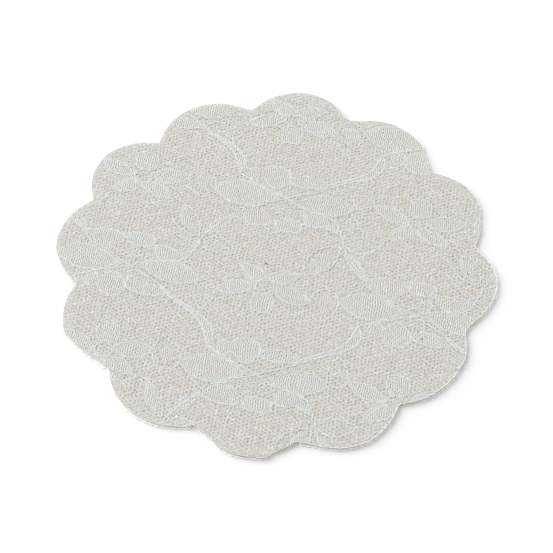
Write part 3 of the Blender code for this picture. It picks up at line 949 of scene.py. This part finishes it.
def buildCordTree(values):
    add, given = newTree("laidCord", values)
    evened = add("ResampleCurve", given["Geometry"], {"Length": given["Station"]}, mode="LENGTH")
    upright = add("SetCurveNormal", evened, mode="Z_UP")
    turns = add("Math DIVIDE", add("SplineParameter").outputs["Length"], given["Zigzag Pitch"])
    swing = add("Math SINE", add("Math MULTIPLY", turns, 2.0 * math.pi))
    aside = add("VectorMath SCALE", add("InputNormal"), add("Math MULTIPLY", swing, given["Zigzag"]))
    seed = {"W": given["Seed"]}
    wander = add("TexNoise", {**seed, "Scale": cord["wiggleScale"], "Detail": 3.0}, noise_dimensions="4D")
    thick = add("TexNoise", {**seed, "Scale": cord["swellScale"], "Detail": 1.0}, noise_dimensions="4D")
    stray = addStray(add, wander, (3.0, 3.0, 0.3), given["Wiggle"])
    moved = add("SetPosition", upright, {"Offset": add("VectorMath ADD", aside, stray)})
    share = add("MapRange", thick, 0.25, 0.75, -1.0, 1.0)
    swollen = add("Math MULTIPLY_ADD", share, given["Swell"], 1.0)
    scale = add("Math MULTIPLY", add("InputRadius"), swollen)
    section = add("ObjectInfo", given["Section"])
    laid = add("CurveToMesh", moved, section.outputs["Geometry"], scale, True)
    crease = add("Compare GREATER_THAN", add("InputMeshEdgeAngle"), cord["crease"])
    soft = add("SetShadeSmooth", laid)
    return endTree(add, given, add("SetShadeSmooth", soft, crease, False, domain="EDGE"))


def curveObject(name, runs):
    # one spline for each run of (plan points in mm, height in mm, radius in mm, closed)
    curve = bpy.data.curves.new(name, "CURVE")
    curve.dimensions = "3D"
    for points, height, radius, closed in runs:
        spline = curve.splines.new("POLY")
        spline.points.add(len(points) - 1)
        for knot, (x, y) in zip(spline.points, points):
            knot.co = (x * mm, y * mm, height * mm, 1.0)
            knot.radius = radius * mm
        spline.use_cyclic_u = closed
    return addObject(name, curve)


def runsInside(plan, closed, inset):
    # the stretches of a route that stay on the doily
    inside = within(plan, inset)
    if inside.all():
        return [(plan, closed)]
    if closed:
        first = int(np.argmin(inside))
        plan, inside = np.roll(plan, -first, axis=0), np.roll(inside, -first)
    turns = np.flatnonzero(np.diff(np.r_[False, inside, False]))
    return [(plan[start:end], False) for start, end in zip(turns[::2], turns[1::2]) if end - start > 2]


def chartCords():
    # each cord of one repeat as (points, radius, closed)
    chart = []
    for row in petals:
        loop = petalLoop(*row[1:9])
        thin = row[0].startswith(("heart", "star"))
        chart.append((densified(loop), petalCord * (thinCord if thin else 1.0), True))
    s, t, radius = flowerRing
    chart.append((ovalLoop(s, t, 2.0 * radius, 2.0 * radius, 0.0, 36), petalCord, True))
    for radius, points in cordRoutes.values():
        chart.append((smoothRoute(points, routeStep), radius, False))
    return chart


def cordRuns(onChart=False):
    # every cord of every repeat: whole and flat on the chart, or laid on the doily and cut at its edge
    runs = []
    for place in everyRepeat():
        for layer, (route, radius, closed) in enumerate(chartCords()):
            route = placeRepeat(route, *place)
            plan = fabricToPlan(route)
            seat = cord["seat"] + cord["layerStep"] * (layer % cord["layers"])
            if not onChart:
                runs += [(part, seat, cord["spread"] * radius, whole)
                         for part, whole in runsInside(plan, closed, cord["inset"])]
            elif (np.linalg.norm(plan, axis=1) < cord["reach"]).any():
                runs.append((route, 0.0, radius, closed))
    return runs


def densified(loop):
    points = []
    for a, b in zip(loop, np.roll(loop, -1, axis=0)):
        count = max(1, round(np.linalg.norm(b - a) / routeStep))
        points.extend(a + (b - a) * u for u in np.arange(count) / count)
    return np.array(points)


def rimRuns():
    # a thin yarn all round, and a thicker one where the cut edge of the lace curls up
    line = outline - rim["inset"] * outlineNormals()
    angles = np.degrees(directionOf(line))
    runs = [(line, rim["seat"], rim["radius"], True)]
    for start, end, radius in rim["curled"]:
        turned = (angles - start) % 360.0
        stretch = np.argsort(turned)
        runs.append((line[stretch][turned[stretch] < end - start], rim["seat"], radius, False))
    return runs


def layCord(name, runs, style, material):
    source = curveObject(name + "Routes", runs)
    across, up = np.array(style["section"]).T / mm  # in radii, not mm
    section = curveObject(name + "Section", [(np.column_stack([across, -up]), 0.0, 1.0, True)])
    piece = growPiece(name, source, buildCordTree, {
        **lengthsOf(style, "Station", "Zigzag", "Wiggle"), **lengthsOf(cord, "Zigzag Pitch"),
        "Section": section, "Swell": style["swell"], "Seed": float(style["seed"]), "Material": material})
    dropObject(section)
    return piece


flecks = {
    "places": (
        # x, y in mm, radius in mm, how dark
        (-3.4, -0.2, 0.42, 0.15), (-2.9, -0.6, 0.28, 0.3), (65.1, -3.0, 0.36, 0.4), (48.9, -29.8, 0.36, 1.0),
        (50.2, -28.9, 0.22, 0.8), (-1.6, 68.7, 0.30, 0.5), (0.3, 58.7, 0.28, 0.5), (-14.5, 47.7, 0.30, 0.6),
        (-28.4, -35.6, 0.28, 0.4),
    ),
    "strays": 90,  # more, small ones
    "strayRadius": (0.10, 0.20),
    "reach": 66.0,  # mm from the middle
    "level": 1.42,  # mm above the floor
    "shape": (1.3, 0.8),  # radii that it is long and broad
    "flatness": 0.35,
    "tilt": 0.3,  # radians
    "dent": 0.25,  # mm, with noise of this scale in steps to a metre
    "dentScale": 2500.0,
    "seed": 21,
}
ends = {
    "count": 900,  # loose yarn ends round the cut
    "length": (0.25, 0.85),  # mm
    "radius": 0.045,
    "low": 0.35,  # mm above the floor
    "high": 1.45,
    "lean": 1.0,  # radians to each side
    "bend": 0.9,
    "fall": (-0.5, 0.2),  # mm up for each mm out
    "root": 0.25,  # mm in from the cut
    "scatter": 0.5,  # mm along the cut
    "taper": (1.0, 0.9, 0.7, 0.3),
    "lowest": 0.05,  # mm above the floor
    "seed": 23,
}


def buildFleckTree(values):
    add, given = newTree("seedFlecks", values)
    size, dark = (add("InputNamedAttribute", name) for name in ("fleckSize", "fleckDark"))
    scale = add("VectorMath SCALE", add("CombineXYZ", *flecks["shape"], given["Flatness"]), size)
    turn = add("RandomValue", (0.0, 0.0, 0.0), (flecks["tilt"], flecks["tilt"], 2.0 * math.pi),
               {"Seed": given["Seed"]}, data_type="FLOAT_VECTOR")
    placed = add("InstanceOnPoints", given["Geometry"], {"Instance": add("MeshIcoSphere", 1.0, 2),
                                                         "Rotation": turn, "Scale": scale})
    kept = add("StoreNamedAttribute", placed, {"Name": "husk", "Value": dark}, domain="INSTANCE")
    noise = add("TexNoise", add("InputPosition"), flecks["dentScale"], 1.0)
    dents = addStray(add, noise, (1.0, 1.0, 1.0), flecks["dent"] * mm)
    return endTree(add, given, add("SetPosition", add("RealizeInstances", kept), {"Offset": dents}))


def buildFlecks(material):
    rng = np.random.default_rng(flecks["seed"])
    count = flecks["strays"]
    distance = flecks["reach"] * np.sqrt(rng.uniform(0.0, 1.0, count))
    angle = rng.uniform(0.0, 2.0 * math.pi, count)
    loose = np.column_stack([distance * np.cos(angle), distance * np.sin(angle),
                             rng.uniform(*flecks["strayRadius"], count), rng.uniform(0.1, 0.7, count)])
    rows = np.vstack([flecks["places"], loose])
    mesh = bpy.data.meshes.new("fleckPoints")
    mesh.from_pydata([(x * mm, y * mm, flecks["level"] * mm) for x, y, _, _ in rows], [], [])
    for name, values in (("fleckSize", rows[:, 2] * mm), ("fleckDark", rows[:, 3])):
        mesh.attributes.new(name, "FLOAT", "POINT").data.foreach_set("value", values.astype(np.float32))
    return growPiece("seedFlecks", addObject("fleckPoints", mesh), buildFleckTree, {
        "Flatness": flecks["flatness"], "Seed": flecks["seed"], "Material": material})


def buildEndTree(values):
    add, given = newTree("looseEnds", values)
    shape = add("CurvePrimitiveCircle", 3, given["Radius"])
    tube = add("CurveToMesh", given["Geometry"], shape, add("InputRadius"), True)
    return endTree(add, given, add("SetShadeSmooth", tube))


def buildLooseEnds(material):
    # short yarn ends that stick out of the cut, each a bent run that tapers
    rng = np.random.default_rng(ends["seed"])
    normals = outlineNormals()
    curve = bpy.data.curves.new("endRoutes", "CURVE")
    curve.dimensions = "3D"
    for k in rng.integers(0, len(outline), ends["count"]):
        lean, turn = rng.uniform(-ends["lean"], ends["lean"]), rng.uniform(-ends["bend"], ends["bend"])
        length = rng.uniform(*ends["length"])
        shift = rng.uniform(-ends["scatter"], ends["scatter"])
        across, along = normals[k]
        x, y = outline[k] - ends["root"] * normals[k] + shift * np.array([-along, across])
        level, fall = rng.uniform(ends["low"], ends["high"]), rng.uniform(*ends["fall"])
        heading = math.atan2(along, across) + lean
        spline = curve.splines.new("POLY")
        spline.points.add(len(ends["taper"]) - 1)
        for step, knot in enumerate(spline.points):
            knot.co = (x * mm, y * mm, max(ends["lowest"], level) * mm, 1.0)
            knot.radius = ends["taper"][step]
            stride = ends["root"] if step == 0 else length / 2.0
            x, y = x + stride * math.cos(heading), y + stride * math.sin(heading)
            level += stride * fall
            heading += turn / 2.0
    return growPiece("looseEnds", addObject("endRoutes", curve), buildEndTree, {
        **lengthsOf(ends, "Radius"), "Material": material})


studio = {
    "elevation": 54.93,  # degrees above the floor
    "roll": -1.17,
    "lens": 131.87,
    "sensor": 36.0,
    "distance": 684.7,  # mm
    "aim": (0.466, -4.74, 1.6),  # mm, before the plan is centred
    "floorSize": 6.0,
    "softboxAzimuth": 152.0,  # degrees, from +X towards +Y
    "softboxElevation": 35.0,
    "softboxDistance": 3.0,
    "softboxSize": 3.4,
    "softboxPower": 96.0,
    "worldLight": 0.81,
}


def buildCamera():
    elevation, roll = math.radians(studio["elevation"]), math.radians(studio["roll"])
    level = Vector((1.0, 0.0, 0.0))
    rise = Vector((0.0, math.sin(elevation), math.cos(elevation)))
    forward = Vector((0.0, math.cos(elevation), -math.sin(elevation)))
    right = math.cos(roll) * level - math.sin(roll) * rise
    up = math.sin(roll) * level + math.cos(roll) * rise
    x, y, z = studio["aim"]
    place = Vector((x - planCentre[0], y - planCentre[1], z)) * mm - forward * studio["distance"] * mm
    data = bpy.data.cameras.new("studioCamera")
    data.lens, data.sensor_width = studio["lens"], studio["sensor"]
    data.clip_start, data.clip_end = 0.01, 20.0
    camera = addObject("studioCamera", data)
    camera.matrix_world = Matrix.Translation(place) @ Matrix((right, up, -forward)).transposed().to_4x4()
    bpy.context.scene.camera = camera


def buildStage():
    half = studio["floorSize"] / 2.0
    mesh = bpy.data.meshes.new("studioFloor")
    mesh.from_pydata([(-half, -half, 0.0), (half, -half, 0.0), (half, half, 0.0), (-half, half, 0.0)], [],
                     [(0, 1, 2, 3)])
    material, _, shader, _ = newMaterial("matWhiteBoard")
    fillInputs(shader, {"Base Color": hexToLinear(finishes["board"])})
    mesh.materials.append(material)
    floor = addObject("studioFloor", mesh)

    azimuth, elevation = math.radians(studio["softboxAzimuth"]), math.radians(studio["softboxElevation"])
    direction = Vector((math.cos(azimuth) * math.cos(elevation), math.sin(azimuth) * math.cos(elevation),
                        math.sin(elevation)))
    light = bpy.data.lights.new("softbox", "AREA")
    light.shape, light.size, light.energy = "DISK", studio["softboxSize"], studio["softboxPower"]
    lamp = addObject("softbox", light)
    lamp.location = direction * studio["softboxDistance"]
    lamp.rotation_euler = direction.to_track_quat("Z", "Y").to_euler()

    world = bpy.data.worlds.new("whiteStudio")
    world.use_nodes = True
    fillInputs(world.node_tree.nodes["Background"], {"Color": (1.0, 1.0, 1.0, 1.0),
                                                     "Strength": studio["worldLight"]})
    bpy.context.scene.world = world
    bpy.context.scene.view_settings.view_transform = "Standard"


calico = buildCalico()
knit = buildKnit()
cordonnet = buildCordonnet()

baseCloth = buildBaseCloth(calico)
report(baseCloth)
laceGround, laceClothwork = buildLaceGround(knit)
report(laceGround, laceClothwork)
laceCords = layCord("laceCords", cordRuns(), cord, cordonnet)
fluff = buildFluff()
cutRim = layCord("cutRim", rimRuns(), rim, fluff)
report(laceCords, cutRim)
looseEnds = buildLooseEnds(fluff)
seedFlecks = buildFlecks(buildHusk())
report(looseEnds, seedFlecks)

for slotName, members in (("backing", (baseCloth, looseEnds, seedFlecks)),
                          ("lace", (laceGround, laceClothwork, laceCords, cutRim))):
    for piece in members:
        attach(piece, "root")
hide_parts("backing_cloth")
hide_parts("lace")

buildCamera()
buildStage()
print("stage ready")
